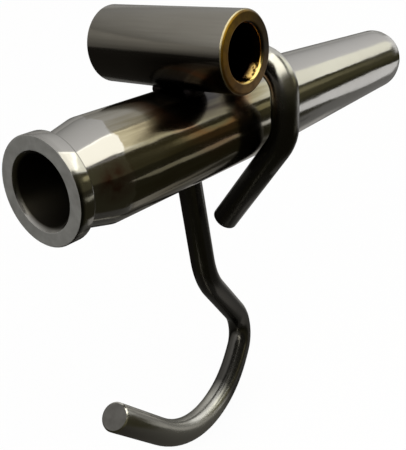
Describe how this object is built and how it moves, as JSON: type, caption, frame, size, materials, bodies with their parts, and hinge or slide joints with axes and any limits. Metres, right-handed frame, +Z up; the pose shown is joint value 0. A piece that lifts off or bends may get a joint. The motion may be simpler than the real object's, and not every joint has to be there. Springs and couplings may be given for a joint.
{
  "type": "sap spile",
  "caption": "Turned steel sap spile with a through bore, a tapered nose, a cross tube welded on top and a loose bent-wire bucket hook.",
  "frame": {"origin": "on the spout's axis, at the section of the tapered nose that is 11.1 mm across and stops at the mouth of the tap hole", "axes": "+X along the spout towards the tree, +Z up through the cross tube, the hook hanging towards -Z and its tip turned a little towards -Y"},
  "size_m": [0.078, 0.0218, 0.0622],
  "materials": {
    "turned_stainless": "fine turned",
    "tube_stainless": "satin drawn",
    "weld_metal": "as welded",
    "hook_wire": "drawn wire"
  },
  "bodies": {
    "spout": {"spout_body": "turned_stainless", "cross_tube": "tube_stainless", "weld_near_side": "weld_metal", "weld_far_side": "weld_metal"},
    "hook": {"bucket_hook": "hook_wire"}
  },
  "joints": [
    {"name": "hook_swing", "type": "hinge", "parent": "spout", "child": "hook", "pos_m": [-0.03, 0, 0], "axis": [1, 0, 0], "continuous": true}
  ]
}
